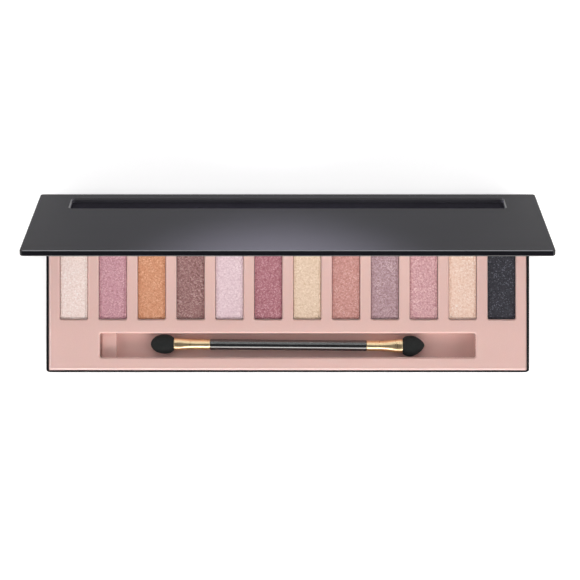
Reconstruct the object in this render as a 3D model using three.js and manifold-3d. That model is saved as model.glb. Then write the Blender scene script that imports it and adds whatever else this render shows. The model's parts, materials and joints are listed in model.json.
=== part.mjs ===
// Eyeshadow palette: a shallow base with twelve powder pans and an applicator slot, under a hinged lid.
// Millimetres, +Z up. +X runs along the row of shades and +Y runs back to the hinge.
// The origin is the middle of the base's underside.

import * as THREE from 'three';
import { mergeVertices } from 'three/addons/utils/BufferGeometryUtils.js';
import loadManifold from 'manifold-3d';

const wasm = await loadManifold();
wasm.setup();

// Fits
const assemblyGap = 0.05; // between pieces that are assembled once and stay put
const pinGap = 0.12; // radial, lid lug on its hinge pin
const pocketGap = 0.6; // between a lid lug and the walls of its pocket
const slotGap = 0.6; // on each side of the widest sponge
const swingGap = 0.1; // between the lid and the base's rear edge as it swings past

// Base shell
const baseDepth = 66.5;
const baseHeight = 10.6;
const baseCorner = 1.4;
const baseWall = 0.9;
const floorThickness = 1.4;
const sideMargin = 5.3; // from the base's side face to the outermost opening

// Pan tray
const deckThickness = 1.2;
const skirtWall = 0.9;
const skirtCorner = 0.3;
const cupWall = 0.7;
const panCount = 12;
const panPitch = 15.3;
const openingWidth = 11.1;
const openingRear = 8.7; // from the base's rear face to the rear of the openings
const openingCorner = 0.7;
const openingChamfer = 0.45;

// Pans and powder
const panWall = 0.4;
const panDepth = 3.1;
const panDrop = 1.35; // from the deck down to a pan's rim
const powderStand = 0.6; // from a pan's rim up to the top of the powder

// Applicator slot
const slotFront = 5.85; // from the base's front face
const slotFromSide = 21;
const slotToPans = 5.45;
const slotDepth = 6;
const slotCorner = 0.9;
const slotChamfer = 0.6;
const applicatorShift = 0.25; // to the right of the slot's middle
const slotRest = { length: 6.3, height: 2.4, groove: 0.8, grooveDepth: 0.9 }; // raised floor at the left end

// Applicator
const handleLength = 61.8;
const handleRadius = 2.15;
const handleEdge = 0.35;
const ferruleLength = 14.2;
const ferruleRadius = 2.05;
const ferruleWall = 0.25;
const spigotLength = 5;
const tipOffset = 0.37; // how far each sponge lies off the slot's middle line
const sponges = {
  left: { width: 7.6, length: 9.1, thickness: 4, neckWidth: 4.7, shoulder: 1.9 },
  right: { width: 8.3, length: 8.6, thickness: 4, neckWidth: 5.3, shoulder: 1.1 },
};
const spongeEdge = 0.9; // rounding of the foam's edges
const spongeCollar = 0.4; // how far the foam stands out past the ferrule on each side
const spongeTaper = 0.55; // where the sides begin to draw in, as a share of the foam's length
const spongeBluntness = 0.45; // of the tip, from 0 for a point to 1 for a square end
const neckThickness = 3; // of a ferrule's flattened end
const coreBlade = { width: 3, thickness: 0.9, length: 5.6 };

// Lid
const lidOverhang = 2.5; // past the base's front and sides when closed
const lidThickness = 2.4;
const lidCorner = 1.2;
const lidGap = 0.2; // from the base's rim to the lid when closed
const lidOpenAngle = 69.8; // degrees from closed
const recess = { width: 12, depth: 1.7, fromRear: 6, fromSide: 13.25, corner: 1, chamfer: 0.5 };

// Hinge
const axisInset = 2.3; // from the base's rear face
const axisDrop = 3.3; // below the base's rim
const lidRearOfAxis = 1.4;
const pinRadius = 0.8;
const lugRadius = 2;
const lugWidth = 13;
const innerBoss = 5; // width of the boss that holds a pin's blind end
const outerBoss = 1.2; // thickening of the side wall where a pin goes in
const blindWall = 1; // left past a pin's blind end
const pinEndInset = 0.3; // from the outside of the side wall
const rootDepth = 0.4; // how far a boss or lug is sunk into the wall that it stands on

// Closure
const magnet = { radius: 4, height: 2, fromSide: 11, fromFront: 8.6 };
const postWall = 1.2;
const discThickness = 0.8;

// Mirror
const mirror = { thickness: 1, corner: 1.5, fromRecess: 3, fromFront: 4.1, fromSide: 18.5 };
const adhesive = { thickness: 0.3, border: 3 };

// Derived heights and places
const baseWidth = (panCount - 1) * panPitch + openingWidth + 2 * sideMargin;
const rimTop = baseHeight;
const deckBottom = rimTop - deckThickness;
const frontFace = -baseDepth / 2;
const rearFace = baseDepth / 2;
const axisY = rearFace - axisInset;
const axisZ = rimTop - axisDrop;
const innerWidth = baseWidth - 2 * baseWall;
const trayWidth = innerWidth - 2 * assemblyGap;
const trayDepth = baseDepth - 2 * baseWall - 2 * assemblyGap;
const trayBottom = floorThickness + assemblyGap;
const slotLength = baseWidth - 2 * slotFromSide;
const slotWidth = Math.max(sponges.left.width, sponges.right.width) + 2 * slotGap;
const slotY = frontFace + slotFront + slotWidth / 2;
const slotFloor = rimTop - slotDepth;
const openingFront = slotFront + slotWidth + slotToPans;
const openingLength = baseDepth - openingFront - openingRear;
const openingY = frontFace + openingFront + openingLength / 2;
const panRim = rimTop - panDrop;
const panBottom = panRim - panDepth;
const cupFloor = panBottom - assemblyGap;
const pocketOuter = baseWidth / 2 - baseWall - outerBoss;
const lugOuter = pocketOuter - pocketGap;
const lugInner = lugOuter - lugWidth;
const pocketInner = lugInner - pocketGap;
const pocketFront = axisY - lugRadius - pocketGap;
const bossInner = pocketInner - innerBoss;
const bossFront = pocketFront - baseWall;
const bossTop = deckBottom - assemblyGap;
const pinOuter = baseWidth / 2 - pinEndInset;
const pinInner = bossInner + blindWall;
const magnetX = baseWidth / 2 - magnet.fromSide;
const magnetY = frontFace + magnet.fromFront;
const lidUnder = axisDrop + lidGap; // above the hinge axis, with the lid closed
const swingRadius = lidUnder - swingGap;
const reliefBack = axisInset - Math.sqrt(swingRadius ** 2 - axisDrop ** 2);
const reliefDown = axisDrop - Math.sqrt(swingRadius ** 2 - axisInset ** 2);
const sides = { left: -1, right: 1 };
const roundSides = 24;
const cornerSteps = 2;
const overshoot = 1; // how far a cutter reaches past the face that it cuts through

// Geometry helpers

function solidOf(geometry) {
  geometry.deleteAttribute('normal');
  geometry.deleteAttribute('uv');
  const merged = mergeVertices(geometry, 1e-4);
  const vertProperties = Float32Array.from(merged.attributes.position.array);
  const triVerts = Uint32Array.from(merged.index.array);
  return new wasm.Manifold(new wasm.Mesh({ numProp: 3, vertProperties, triVerts }));
}

function roundedOutline(width, depth, radius) {
  const outline = new THREE.Shape();
  const x = width / 2 - radius;
  const y = depth / 2 - radius;
  const quarter = Math.PI / 2;
  outline.absarc(x, y, radius, 0, quarter);
  outline.absarc(-x, y, radius, quarter, 2 * quarter);
  outline.absarc(-x, -y, radius, 2 * quarter, 3 * quarter);
  outline.absarc(x, -y, radius, 3 * quarter, 4 * quarter);
  return outline;
}

// A slab with rounded corners, centred on x and y, between two heights.
function slab(width, depth, radius, bottom, top, x = 0, y = 0) {
  const settings = { depth: top - bottom, bevelEnabled: false, curveSegments: cornerSteps };
  const geometry = new THREE.ExtrudeGeometry(roundedOutline(width, depth, radius), settings);
  return solidOf(geometry.translate(x, y, bottom));
}

// A cutter whose last stretch widens by the chamfer, so that it breaks the edge of an opening at this height.
function edgeCutter(width, depth, radius, chamfer, top, x = 0, y = 0) {
  const settings = {
    depth: overshoot,
    bevelThickness: chamfer,
    bevelSize: chamfer,
    bevelSegments: 1,
    curveSegments: cornerSteps,
  };
  const geometry = new THREE.ExtrudeGeometry(roundedOutline(width, depth, radius), settings);
  return solidOf(geometry.translate(x, y, top));
}

function box(from, to) {
  const size = to.map((value, axis) => value - from[axis]);
  const middle = to.map((value, axis) => (value + from[axis]) / 2);
  return solidOf(new THREE.BoxGeometry(...size).translate(...middle));
}

// A block between two distances from the middle plane, on the left or the right side.
function sideBlock(side, near, far, from, to) {
  const low = side < 0 ? -far : near;
  const high = side < 0 ? -near : far;
  return box([low, ...from], [high, ...to]);
}

function upright(radius, bottom, top, x, y) {
  const geometry = new THREE.CylinderGeometry(radius, radius, top - bottom, roundSides);
  return solidOf(geometry.rotateX(Math.PI / 2).translate(x, y, (top + bottom) / 2));
}

// A cylinder along X between two distances from the middle plane, on the left or the right side.
function crossBar(side, radius, near, far, y, z) {
  const geometry = new THREE.CylinderGeometry(radius, radius, far - near, roundSides);
  return solidOf(geometry.rotateZ(Math.PI / 2).translate((side * (near + far)) / 2, y, z));
}

function join(first, ...others) {
  return others.reduce((sum, next) => sum.add(next), first);
}

function cut(body, ...cutters) {
  return cutters.reduce((rest, cutter) => rest.subtract(cutter), body);
}

function meshOf(name, solid, material) {
  const { vertProperties, triVerts } = solid.getMesh();
  const geometry = new THREE.BufferGeometry();
  geometry.setAttribute('position', new THREE.BufferAttribute(vertProperties, 3));
  geometry.setIndex(new THREE.BufferAttribute(triVerts, 1));
  const mesh = new THREE.Mesh(geometry, material);
  mesh.name = name;
  return mesh;
}

function finish(color, roughness, metalness = 0) {
  return new THREE.MeshStandardMaterial({ color, roughness, metalness, flatShading: true });
}

const finishes = {
  black: finish('#1c1c20', 0.12),
  pink: finish('#dcbdb9', 0.42),
  aluminium: finish('#c9c9c6', 0.35, 1),
  steel: finish('#b9bcc0', 0.25, 1),
  magnet: finish('#9a9ca0', 0.3, 1),
  mirror: finish('#dfe4e6', 0.03, 1),
  tape: finish('#e6e4dc', 0.8),
  gold: finish('#d9b877', 0.22, 1),
  foam: finish('#2a2b2d', 0.95),
  core: finish('#e9e7e2', 0.5),
};

const shadeColors = [
  '#e8d5ca',
  '#c58c98',
  '#d69673',
  '#967573',
  '#e4ccd4',
  '#b4747f',
  '#e6cdb2',
  '#cd9189',
  '#af969f',
  '#cd9ba3',
  '#eed0bc',
  '#3e3e43',
];

// Base

function makeBaseShell() {
  let shell = slab(baseWidth, baseDepth, baseCorner, 0, rimTop);
  const innerDepth = baseDepth - 2 * baseWall;
  const innerCorner = baseCorner - baseWall;
  shell = cut(shell, slab(innerWidth, innerDepth, innerCorner, floorThickness, rimTop + overshoot));
  for (const side of Object.values(sides)) {
    shell = join(shell, magnetPost(side), hingeBosses(side));
    shell = cut(shell, magnetSeat(side), lugPocket(side), pinBore(side));
  }
  return cut(shell, rearSlope());
}

function magnetPost(side) {
  const radius = magnet.radius + assemblyGap + postWall;
  return upright(radius, floorThickness - rootDepth, bossTop, side * magnetX, magnetY);
}

function magnetSeat(side) {
  const bottom = bossTop - magnet.height - 2 * assemblyGap;
  return upright(magnet.radius + assemblyGap, bottom, bossTop + overshoot, side * magnetX, magnetY);
}

// The bosses on both sides of a lug's pocket, and the wall across its front.
function hingeBosses(side) {
  const sideWall = baseWidth / 2 - baseWall + rootDepth;
  const rearWall = rearFace - baseWall + rootDepth;
  const from = [bossFront, floorThickness - rootDepth];
  const inner = sideBlock(side, bossInner, pocketInner, from, [rearWall, bossTop]);
  const outer = sideBlock(side, pocketOuter, sideWall, from, [rearWall, bossTop]);
  const front = sideBlock(side, bossInner, sideWall, from, [pocketFront, bossTop]);
  return join(inner, outer, front);
}

// The space that a lid lug turns in, open to the top and the rear.
function lugPocket(side) {
  const from = [pocketFront, axisZ - lugRadius - pocketGap];
  const to = [rearFace + overshoot, rimTop + overshoot];
  return sideBlock(side, pocketInner, pocketOuter, from, to);
}

function pinBore(side) {
  return crossBar(side, pinRadius + assemblyGap, pinInner - assemblyGap, baseWidth, axisY, axisZ);
}

// The cutter for the sloped top rear edge.
function rearSlope() {
  const profile = new THREE.Shape();
  profile.moveTo(rearFace - reliefBack, rimTop);
  profile.lineTo(rearFace, rimTop - reliefDown);
  profile.lineTo(rearFace + overshoot, rimTop - reliefDown);
  profile.lineTo(rearFace + overshoot, rimTop + overshoot);
  profile.lineTo(rearFace - reliefBack, rimTop + overshoot);
  const reach = baseWidth + 2 * overshoot;
  const geometry = new THREE.ExtrudeGeometry(profile, { depth: reach, bevelEnabled: false });
  geometry.rotateZ(Math.PI / 2).rotateY(Math.PI / 2);
  return solidOf(geometry.translate(-reach / 2, 0, 0));
}

// Tray

function panX(index) {
  return (index - (panCount - 1) / 2) * panPitch;
}

function makePanTray() {
  const corner = baseCorner - baseWall - assemblyGap;
  let tray = slab(trayWidth, trayDepth, corner, trayBottom, rimTop);
  const hollowWidth = trayWidth - 2 * skirtWall;
  const hollowDepth = trayDepth - 2 * skirtWall;
  tray = cut(tray, slab(hollowWidth, hollowDepth, skirtCorner, trayBottom - overshoot, deckBottom));
  const troughBottom = slotFloor - cupWall;
  tray = tray.add(boxAround(slotLength, slotWidth, troughBottom, 0, slotY));
  for (let index = 0; index < panCount; index += 1) {
    tray = tray.add(boxAround(openingWidth, openingLength, cupFloor - cupWall, panX(index), openingY));
  }
  tray = cut(tray, slotHollow());
  for (let index = 0; index < panCount; index += 1) {
    tray = cut(tray, ...openingCutters(panX(index)));
  }
  for (const side of Object.values(sides)) {
    tray = cut(tray, ...hingeClearance(side));
  }
  return cut(tray, rearSlope());
}

// The outside of a cup or trough, up into the deck.
function boxAround(width, depth, bottom, x, y) {
  const halfWidth = width / 2 + cupWall;
  const halfDepth = depth / 2 + cupWall;
  const top = (deckBottom + rimTop) / 2;
  return box([x - halfWidth, y - halfDepth, bottom], [x + halfWidth, y + halfDepth, top]);
}

function openingCutters(x) {
  const outline = [openingWidth, openingLength, openingCorner];
  return [
    slab(...outline, cupFloor, rimTop + overshoot, x, openingY),
    edgeCutter(...outline, openingChamfer, rimTop, x, openingY),
  ];
}

function slotHollow() {
  const outline = [slotLength, slotWidth, slotCorner];
  const hollow = slab(...outline, slotFloor, rimTop + overshoot, 0, slotY);
  const end = -slotLength / 2;
  const restTop = slotFloor + slotRest.height;
  const restFrom = [end - overshoot, slotY - slotWidth, slotFloor - overshoot];
  const rest = box(restFrom, [end + slotRest.length, slotY + slotWidth, restTop]);
  const grooveFrom = [end - overshoot, slotY - slotWidth, restTop - slotRest.grooveDepth];
  const groove = box(grooveFrom, [end + slotRest.groove, slotY + slotWidth, restTop + overshoot]);
  return join(hollow.subtract(rest.subtract(groove)), edgeCutter(...outline, slotChamfer, rimTop, 0, slotY));
}

// Room for the lug pockets in the deck, and for the bosses and pocket walls under it.
function hingeClearance(side) {
  const back = rearFace + overshoot;
  const deckFrom = [pocketFront, deckBottom - overshoot];
  const underFrom = [bossFront - assemblyGap, -overshoot];
  const deckCut = sideBlock(side, pocketInner, pocketOuter, deckFrom, [back, rimTop + overshoot]);
  const underCut = sideBlock(side, bossInner - assemblyGap, baseWidth, underFrom, [back, deckBottom]);
  return [deckCut, underCut];
}

function makePan(index) {
  const width = openingWidth - 2 * assemblyGap;
  const length = openingLength - 2 * assemblyGap;
  const x = panX(index);
  const outer = slab(width, length, openingCorner - assemblyGap, panBottom, panRim, x, openingY);
  const inner = slab(
    width - 2 * panWall,
    length - 2 * panWall,
    (openingCorner - assemblyGap) / 2,
    panBottom + panWall,
    panRim + overshoot,
    x,
    openingY,
  );
  return cut(outer, inner);
}

function makeShadow(index) {
  const inset = 2 * (2 * assemblyGap + panWall);
  const corner = (openingCorner - assemblyGap) / 2;
  const bottom = panBottom + panWall + assemblyGap;
  const top = panRim + powderStand;
  return slab(openingWidth - inset, openingLength - inset, corner, bottom, top, panX(index), openingY);
}

function makeHingePin(side) {
  return crossBar(side, pinRadius, pinInner, pinOuter, axisY, axisZ);
}

function makeBaseMagnet(side) {
  const top = deckBottom - 2 * assemblyGap;
  return upright(magnet.radius, top - magnet.height, top, side * magnetX, magnetY);
}

// Lid, drawn closed, with the hinge axis at the origin: y and z are measured from the axis.

const lidWidth = baseWidth + 2 * lidOverhang;
const lidFront = frontFace - lidOverhang - axisY;
const lidDepth = lidRearOfAxis - lidFront;
const lidMiddle = (lidRearOfAxis + lidFront) / 2;
const lidTop = lidUnder + lidThickness;
const recessLength = lidWidth - 2 * recess.fromSide;
const recessMiddle = lidRearOfAxis - recess.fromRear - recess.width / 2;
const mirrorRear = recessMiddle - recess.width / 2 - mirror.fromRecess;
const mirrorFront = lidFront + mirror.fromFront;
const mirrorWidth = lidWidth - 2 * mirror.fromSide;
const mirrorDepth = mirrorRear - mirrorFront;
const mirrorMiddle = (mirrorRear + mirrorFront) / 2;
const mirrorPocket = adhesive.thickness + mirror.thickness + 2 * assemblyGap;

function makeLidShell() {
  let lid = slab(lidWidth, lidDepth, lidCorner, lidUnder, lidTop, 0, lidMiddle);
  const recessOutline = [recessLength, recess.width, recess.corner];
  lid = cut(
    lid,
    slab(...recessOutline, lidTop - recess.depth, lidTop + overshoot, 0, recessMiddle),
    edgeCutter(...recessOutline, recess.chamfer, lidTop, 0, recessMiddle),
    slab(
      mirrorWidth + 2 * assemblyGap,
      mirrorDepth + 2 * assemblyGap,
      mirror.corner,
      lidUnder - overshoot,
      lidUnder + mirrorPocket,
      0,
      mirrorMiddle,
    ),
  );
  for (const side of Object.values(sides)) {
    lid = join(lid, lidLug(side));
    lid = cut(lid, lugBore(side), discSeat(side));
  }
  return lid;
}

function lidLug(side) {
  const round = crossBar(side, lugRadius, lugInner, lugOuter, 0, 0);
  const web = sideBlock(side, lugInner, lugOuter, [-lugRadius, 0], [lidRearOfAxis, lidUnder + rootDepth]);
  return round.add(web);
}

function lugBore(side) {
  return crossBar(side, pinRadius + pinGap, lugInner - overshoot, lugOuter + overshoot, 0, 0);
}

function discSeat(side) {
  const top = lidUnder + discThickness + 2 * assemblyGap;
  return upright(magnet.radius + assemblyGap, lidUnder - overshoot, top, side * magnetX, magnetY - axisY);
}

function makeLidDisc(side) {
  const bottom = lidUnder + assemblyGap;
  return upright(magnet.radius, bottom, bottom + discThickness, side * magnetX, magnetY - axisY);
}

function makeMirrorAdhesive() {
  const width = mirrorWidth - 2 * adhesive.border;
  const depth = mirrorDepth - 2 * adhesive.border;
  const top = lidUnder + mirrorPocket - assemblyGap / 2;
  return slab(width, depth, mirror.corner, top - adhesive.thickness, top, 0, mirrorMiddle);
}

function makeMirror() {
  const top = lidUnder + mirrorPocket - assemblyGap - adhesive.thickness;
  const bottom = top - mirror.thickness;
  return slab(mirrorWidth, mirrorDepth, mirror.corner, bottom, top, 0, mirrorMiddle);
}

// Applicator, drawn along X with its middle at the origin. Each end is drawn to the right and turned over.

const shoulder = handleLength / 2;
const ferruleStart = shoulder + assemblyGap;
const ferruleEnd = ferruleStart + ferruleLength;
const spongeStart = ferruleEnd + assemblyGap;

// A round bar along X from [x, radius] points, which start and end on the axis or close on themselves.
function turned(points) {
  const profile = points.map(([x, radius]) => new THREE.Vector2(radius, x));
  return new THREE.LatheGeometry(profile, roundSides).rotateZ(-Math.PI / 2);
}

// Squeezes a round bar into an oval towards the sponge, from the handle's spigot to the ferrule's end.
function flattened(geometry, neckWidth) {
  const position = geometry.attributes.position;
  for (let vertex = 0; vertex < position.count; vertex += 1) {
    const along = (position.getX(vertex) - ferruleStart - spigotLength) / (ferruleLength - spigotLength);
    const amount = THREE.MathUtils.smoothstep(along, 0, 1);
    const wide = THREE.MathUtils.lerp(1, neckWidth / 2 / ferruleRadius, amount);
    const thin = THREE.MathUtils.lerp(1, neckThickness / 2 / ferruleRadius, amount);
    position.setY(vertex, position.getY(vertex) * wide);
    position.setZ(vertex, position.getZ(vertex) * thin);
  }
  return geometry;
}

function makeHandle() {
  const spigotRadius = ferruleRadius - ferruleWall - assemblyGap;
  const half = [
    [shoulder + spigotLength, 0],
    [shoulder + spigotLength, spigotRadius],
    [shoulder, spigotRadius],
    [shoulder, handleRadius - handleEdge],
    [shoulder - handleEdge, handleRadius],
  ];
  const otherHalf = half.map(([x, radius]) => [-x, radius]);
  return solidOf(turned([...otherHalf, ...half.reverse()]));
}

function makeFerrule(neckWidth) {
  const steps = 8;
  const places = Array.from({ length: steps + 1 }, (_, step) => {
    return ferruleStart + (ferruleLength * step) / steps;
  });
  const outside = places.map((x) => [x, ferruleRadius]);
  const inside = places.map((x) => [x, ferruleRadius - ferruleWall]).reverse();
  return solidOf(flattened(turned([...outside, ...inside, outside[0]]), neckWidth));
}

function makeSpongeCore(neckWidth) {
  const radius = ferruleRadius - ferruleWall - 2 * assemblyGap;
  const start = shoulder + spigotLength + assemblyGap;
  const steps = 5;
  const places = Array.from({ length: steps + 1 }, (_, step) => {
    return start + ((ferruleEnd - start) * step) / steps;
  });
  const stem = turned([[start, 0], ...places.map((x) => [x, radius]), [ferruleEnd, 0]]);
  return solidOf(flattened(stem, neckWidth)).add(bladeOf(0));
}

// The flat blade inside a sponge, grown by a clearance.
function bladeOf(clearance) {
  const halfWidth = coreBlade.width / 2 + clearance;
  const halfThickness = coreBlade.thickness / 2 + clearance;
  const end = spongeStart + coreBlade.length + clearance;
  return box([ferruleEnd - rootDepth, -halfWidth, -halfThickness], [end, halfWidth, halfThickness]);
}

function makeSponge({ width, length, thickness, neckWidth, shoulder: run }) {
  const half = width / 2 - spongeEdge;
  const neck = neckWidth / 2 + spongeCollar - spongeEdge;
  const start = spongeStart + spongeEdge;
  const full = start + run;
  const taper = start + spongeTaper * length;
  const tip = spongeStart + length - spongeEdge;
  const blunt = half * spongeBluntness;
  const outline = new THREE.Shape();
  outline.moveTo(start, -neck);
  outline.quadraticCurveTo(start, -half, full, -half);
  outline.bezierCurveTo(taper, -half, tip, -blunt, tip, 0);
  outline.bezierCurveTo(tip, blunt, taper, half, full, half);
  outline.quadraticCurveTo(start, half, start, neck);
  const settings = {
    depth: thickness - 2 * spongeEdge,
    bevelThickness: spongeEdge,
    bevelSize: spongeEdge,
    bevelSegments: 3,
    curveSegments: 4,
  };
  const foam = new THREE.ExtrudeGeometry(outline, settings);
  return cut(solidOf(foam.translate(0, 0, spongeEdge - thickness / 2)), bladeOf(assemblyGap));
}

// Assembly

const group = new THREE.Group();
const lidGroup = new THREE.Group();
const applicatorGroup = new THREE.Group();
group.add(lidGroup, applicatorGroup);

group.add(meshOf('base_shell', makeBaseShell(), finishes.black));
group.add(meshOf('pan_tray', makePanTray(), finishes.pink));
for (let index = 0; index < panCount; index += 1) {
  const label = String(index + 1).padStart(2, '0');
  group.add(meshOf(`pan_${label}`, makePan(index), finishes.aluminium));
  group.add(meshOf(`shadow_${label}`, makeShadow(index), finish(shadeColors[index], 0.8)));
}

lidGroup.position.set(0, axisY, axisZ);
lidGroup.rotation.x = -THREE.MathUtils.degToRad(lidOpenAngle);
lidGroup.add(meshOf('lid_shell', makeLidShell(), finishes.black));
lidGroup.add(meshOf('mirror', makeMirror(), finishes.mirror));
lidGroup.add(meshOf('mirror_adhesive', makeMirrorAdhesive(), finishes.tape));

const spongeRest = Math.max(handleRadius, sponges.left.thickness / 2, sponges.right.thickness / 2);
const applicatorZ = slotFloor + spongeRest + assemblyGap;
applicatorGroup.position.set(applicatorShift, slotY, applicatorZ);
applicatorGroup.rotation.z = -Math.atan2(tipOffset, spongeStart);
applicatorGroup.add(meshOf('applicator_handle', makeHandle(), finishes.black));

for (const [name, side] of Object.entries(sides)) {
  group.add(meshOf(`hinge_pin_${name}`, makeHingePin(side), finishes.steel));
  group.add(meshOf(`base_magnet_${name}`, makeBaseMagnet(side), finishes.magnet));
  lidGroup.add(meshOf(`lid_disc_${name}`, makeLidDisc(side), finishes.steel));
  const end = new THREE.Group();
  end.rotation.z = side < 0 ? Math.PI : 0;
  end.add(meshOf(`ferrule_${name}`, makeFerrule(sponges[name].neckWidth), finishes.gold));
  end.add(meshOf(`sponge_core_${name}`, makeSpongeCore(sponges[name].neckWidth), finishes.core));
  end.add(meshOf(`sponge_${name}`, makeSponge(sponges[name]), finishes.foam));
  applicatorGroup.add(end);
}

export default group;
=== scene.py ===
import json
import math

import bmesh
import bpy
from mathutils import Matrix, Vector, noise
from mathutils.geometry import interpolate_bezier


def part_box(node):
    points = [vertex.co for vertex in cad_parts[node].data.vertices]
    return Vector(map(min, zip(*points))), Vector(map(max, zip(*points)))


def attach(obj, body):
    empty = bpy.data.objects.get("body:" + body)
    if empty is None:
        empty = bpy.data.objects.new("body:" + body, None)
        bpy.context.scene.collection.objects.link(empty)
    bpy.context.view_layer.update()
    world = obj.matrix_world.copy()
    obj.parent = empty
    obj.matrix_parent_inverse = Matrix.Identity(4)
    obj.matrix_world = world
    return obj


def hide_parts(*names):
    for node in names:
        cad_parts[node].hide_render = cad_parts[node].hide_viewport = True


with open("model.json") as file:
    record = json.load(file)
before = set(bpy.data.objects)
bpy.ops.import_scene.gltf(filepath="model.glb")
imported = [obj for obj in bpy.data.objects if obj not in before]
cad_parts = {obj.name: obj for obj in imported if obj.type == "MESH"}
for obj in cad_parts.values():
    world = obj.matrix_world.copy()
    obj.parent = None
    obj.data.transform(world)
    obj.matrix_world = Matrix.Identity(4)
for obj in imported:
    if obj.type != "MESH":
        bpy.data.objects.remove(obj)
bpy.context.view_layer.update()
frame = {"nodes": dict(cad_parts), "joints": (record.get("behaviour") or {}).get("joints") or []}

# An open eyeshadow palette: gloss black case, dusty pink tray, twelve pressed powders, sponge applicator.
# Metres throughout; mm turns a size in millimetres into metres.
mm = 0.001
nodes = frame["nodes"]
joints = {joint["name"]: joint for joint in frame["joints"]}
sides = {"left": -1, "right": 1}
tiny = 1e-6  # metres, for telling whether two places are the same


def linear(hexColor):
    values = [int(hexColor[i:i + 2], 16) / 255 for i in (1, 3, 5)]
    return [v / 12.92 if v <= 0.04045 else ((v + 0.055) / 1.055) ** 2.4 for v in values] + [1.0]


def addNode(tree, kind, inputs=None, **settings):
    node = tree.nodes.new(kind)
    for name, value in settings.items():
        setattr(node, name, value)
    for name, value in (inputs or {}).items():
        if isinstance(value, bpy.types.NodeSocket):
            tree.links.new(value, node.inputs[name])
        else:
            node.inputs[name].default_value = value
    return node


def newMaterial(name, **surface):
    # a Principled surface with its constant settings on its own sockets; returns what the patterns hang on
    material = bpy.data.materials.new(name)
    material.use_nodes = True
    tree = material.node_tree
    tree.nodes.clear()
    shader = addNode(tree, "ShaderNodeBsdfPrincipled", surface)
    addNode(tree, "ShaderNodeOutputMaterial", {"Surface": shader.outputs["BSDF"]})
    place = addNode(tree, "ShaderNodeTexCoord").outputs["Object"]
    return material, tree, shader, place


def dressSurface(tree, shader, color, roughness, normal=None):
    # hangs the finished patterns on the surface
    tree.links.new(color, shader.inputs["Base Color"])
    tree.links.new(roughness, shader.inputs["Roughness"])
    if normal is not None:
        tree.links.new(normal, shader.inputs["Normal"])


def localBox(node, place):
    # a CAD node's lowest and highest corners in a turned frame
    back = place.inverted()
    points = [back @ vertex.co for vertex in nodes[node].data.vertices]
    low = Vector([min(point[axis] for point in points) for axis in range(3)])
    high = Vector([max(point[axis] for point in points) for axis in range(3)])
    return low, high


def roundedBlock(low, high, corner, steps):
    # a block whose upright edges are rounded
    bm = bmesh.new()
    bmesh.ops.create_cube(bm, size=1)
    bmesh.ops.scale(bm, vec=high - low, verts=bm.verts)
    bmesh.ops.translate(bm, vec=(high + low) / 2, verts=bm.verts)
    upright = [edge for edge in bm.edges if abs(edge.verts[0].co.z - edge.verts[1].co.z) > tiny]
    bevelEdges(bm, upright, corner, steps)
    return bm


def bevelEdges(bm, edges, width, steps, clamped=True):
    bmesh.ops.bevel(bm, geom=edges, offset=width, offset_type="OFFSET", segments=steps, profile=0.5,
                    affect="EDGES", material=-1, clamp_overlap=clamped)


def faceAt(bm, direction):
    # the face furthest along a direction
    return max(bm.faces, key=lambda face: face.calc_center_median().dot(direction))


def insetFace(bm, face, width, rise=0.0):
    bmesh.ops.inset_region(bm, faces=[face], thickness=width, depth=rise, use_even_offset=True)


def spinBar(points, steps=64, closed=False):
    # a round bar along X from (x, radius) points
    bm = bmesh.new()
    ring = [bm.verts.new((x, radius, 0)) for x, radius in points]
    edges = [bm.edges.new(pair) for pair in zip(ring, ring[1:])]
    if closed:
        edges.append(bm.edges.new((ring[-1], ring[0])))
    bmesh.ops.spin(bm, geom=ring + edges, cent=(0, 0, 0), axis=(1, 0, 0), angle=2 * math.pi,
                   steps=steps, use_merge=True)
    bmesh.ops.remove_doubles(bm, verts=bm.verts, dist=tiny)
    bmesh.ops.recalc_face_normals(bm, faces=bm.faces)
    return bm


def makePiece(bm, name, body, materials, replaced, place=None, sharp=35):
    # turns a finished bmesh into a piece of the palette that rides on a body
    if place is not None:
        bmesh.ops.transform(bm, matrix=place, verts=bm.verts)
    for face in bm.faces:
        face.smooth = True
    for edge in bm.edges:
        if len(edge.link_faces) == 2 and edge.calc_face_angle() > math.radians(sharp):
            edge.smooth = False
    mesh = bpy.data.meshes.new(name)
    bm.to_mesh(mesh)
    bm.free()
    for material in materials:
        mesh.materials.append(material)
    piece = bpy.data.objects.new(name, mesh)
    bpy.context.scene.collection.objects.link(piece)
    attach(piece, body)
    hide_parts(*replaced)
    return piece


def solidCopy(node):
    # a CAD node's triangles as one clean solid with flat faces
    bm = bmesh.new()
    bm.from_mesh(nodes[node].data)
    bmesh.ops.remove_doubles(bm, verts=bm.verts, dist=tiny)
    bmesh.ops.dissolve_limit(bm, angle_limit=math.radians(1), verts=bm.verts, edges=bm.edges)
    return bm


def sharpEdges(bm, degrees, chosen=lambda middle: True):
    found = []
    for edge in bm.edges:
        if len(edge.link_faces) != 2 or edge.calc_face_angle() < math.radians(degrees):
            continue
        if chosen((edge.verts[0].co + edge.verts[1].co) / 2):
            found.append(edge)
    return found


def evenShading(piece):
    # keeps the broad flat faces flat and lets only the rounded edges turn
    weights = piece.modifiers.new("evenShading", "WEIGHTED_NORMAL")
    weights.keep_sharp = True
    weights.weight = 100


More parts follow.
